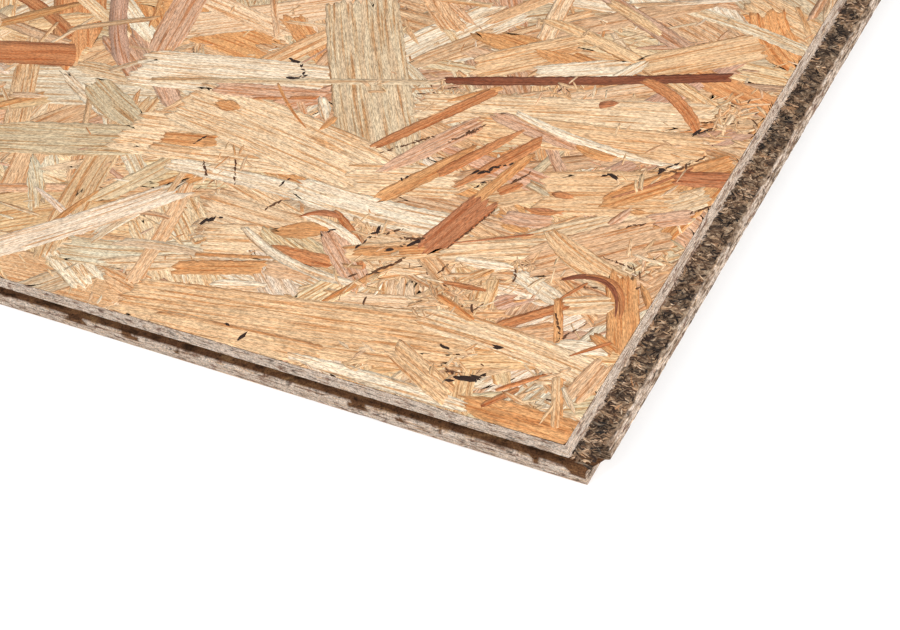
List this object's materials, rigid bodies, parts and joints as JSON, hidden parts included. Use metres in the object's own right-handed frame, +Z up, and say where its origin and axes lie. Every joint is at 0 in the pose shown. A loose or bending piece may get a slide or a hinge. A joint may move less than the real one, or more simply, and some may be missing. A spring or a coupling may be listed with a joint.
{
  "type": "tongue and groove osb panel",
  "caption": "Flat oriented strand board flooring panel with a groove along two adjoining edges and a tapered tongue along the other two.",
  "frame": {"origin": "middle of the box round the panel, on its underside", "axes": "+X along the long edges towards the short edge with the tongue, +Y towards the long edge with the tongue, +Z up out of the show face"},
  "size_m": [2.0582, 0.6832, 0.022],
  "materials": {
    "strand_board": "lightly sanded pressed wood strands"
  },
  "bodies": {
    "root": {"osb_panel": "strand_board"}
  },
  "joints": []
}
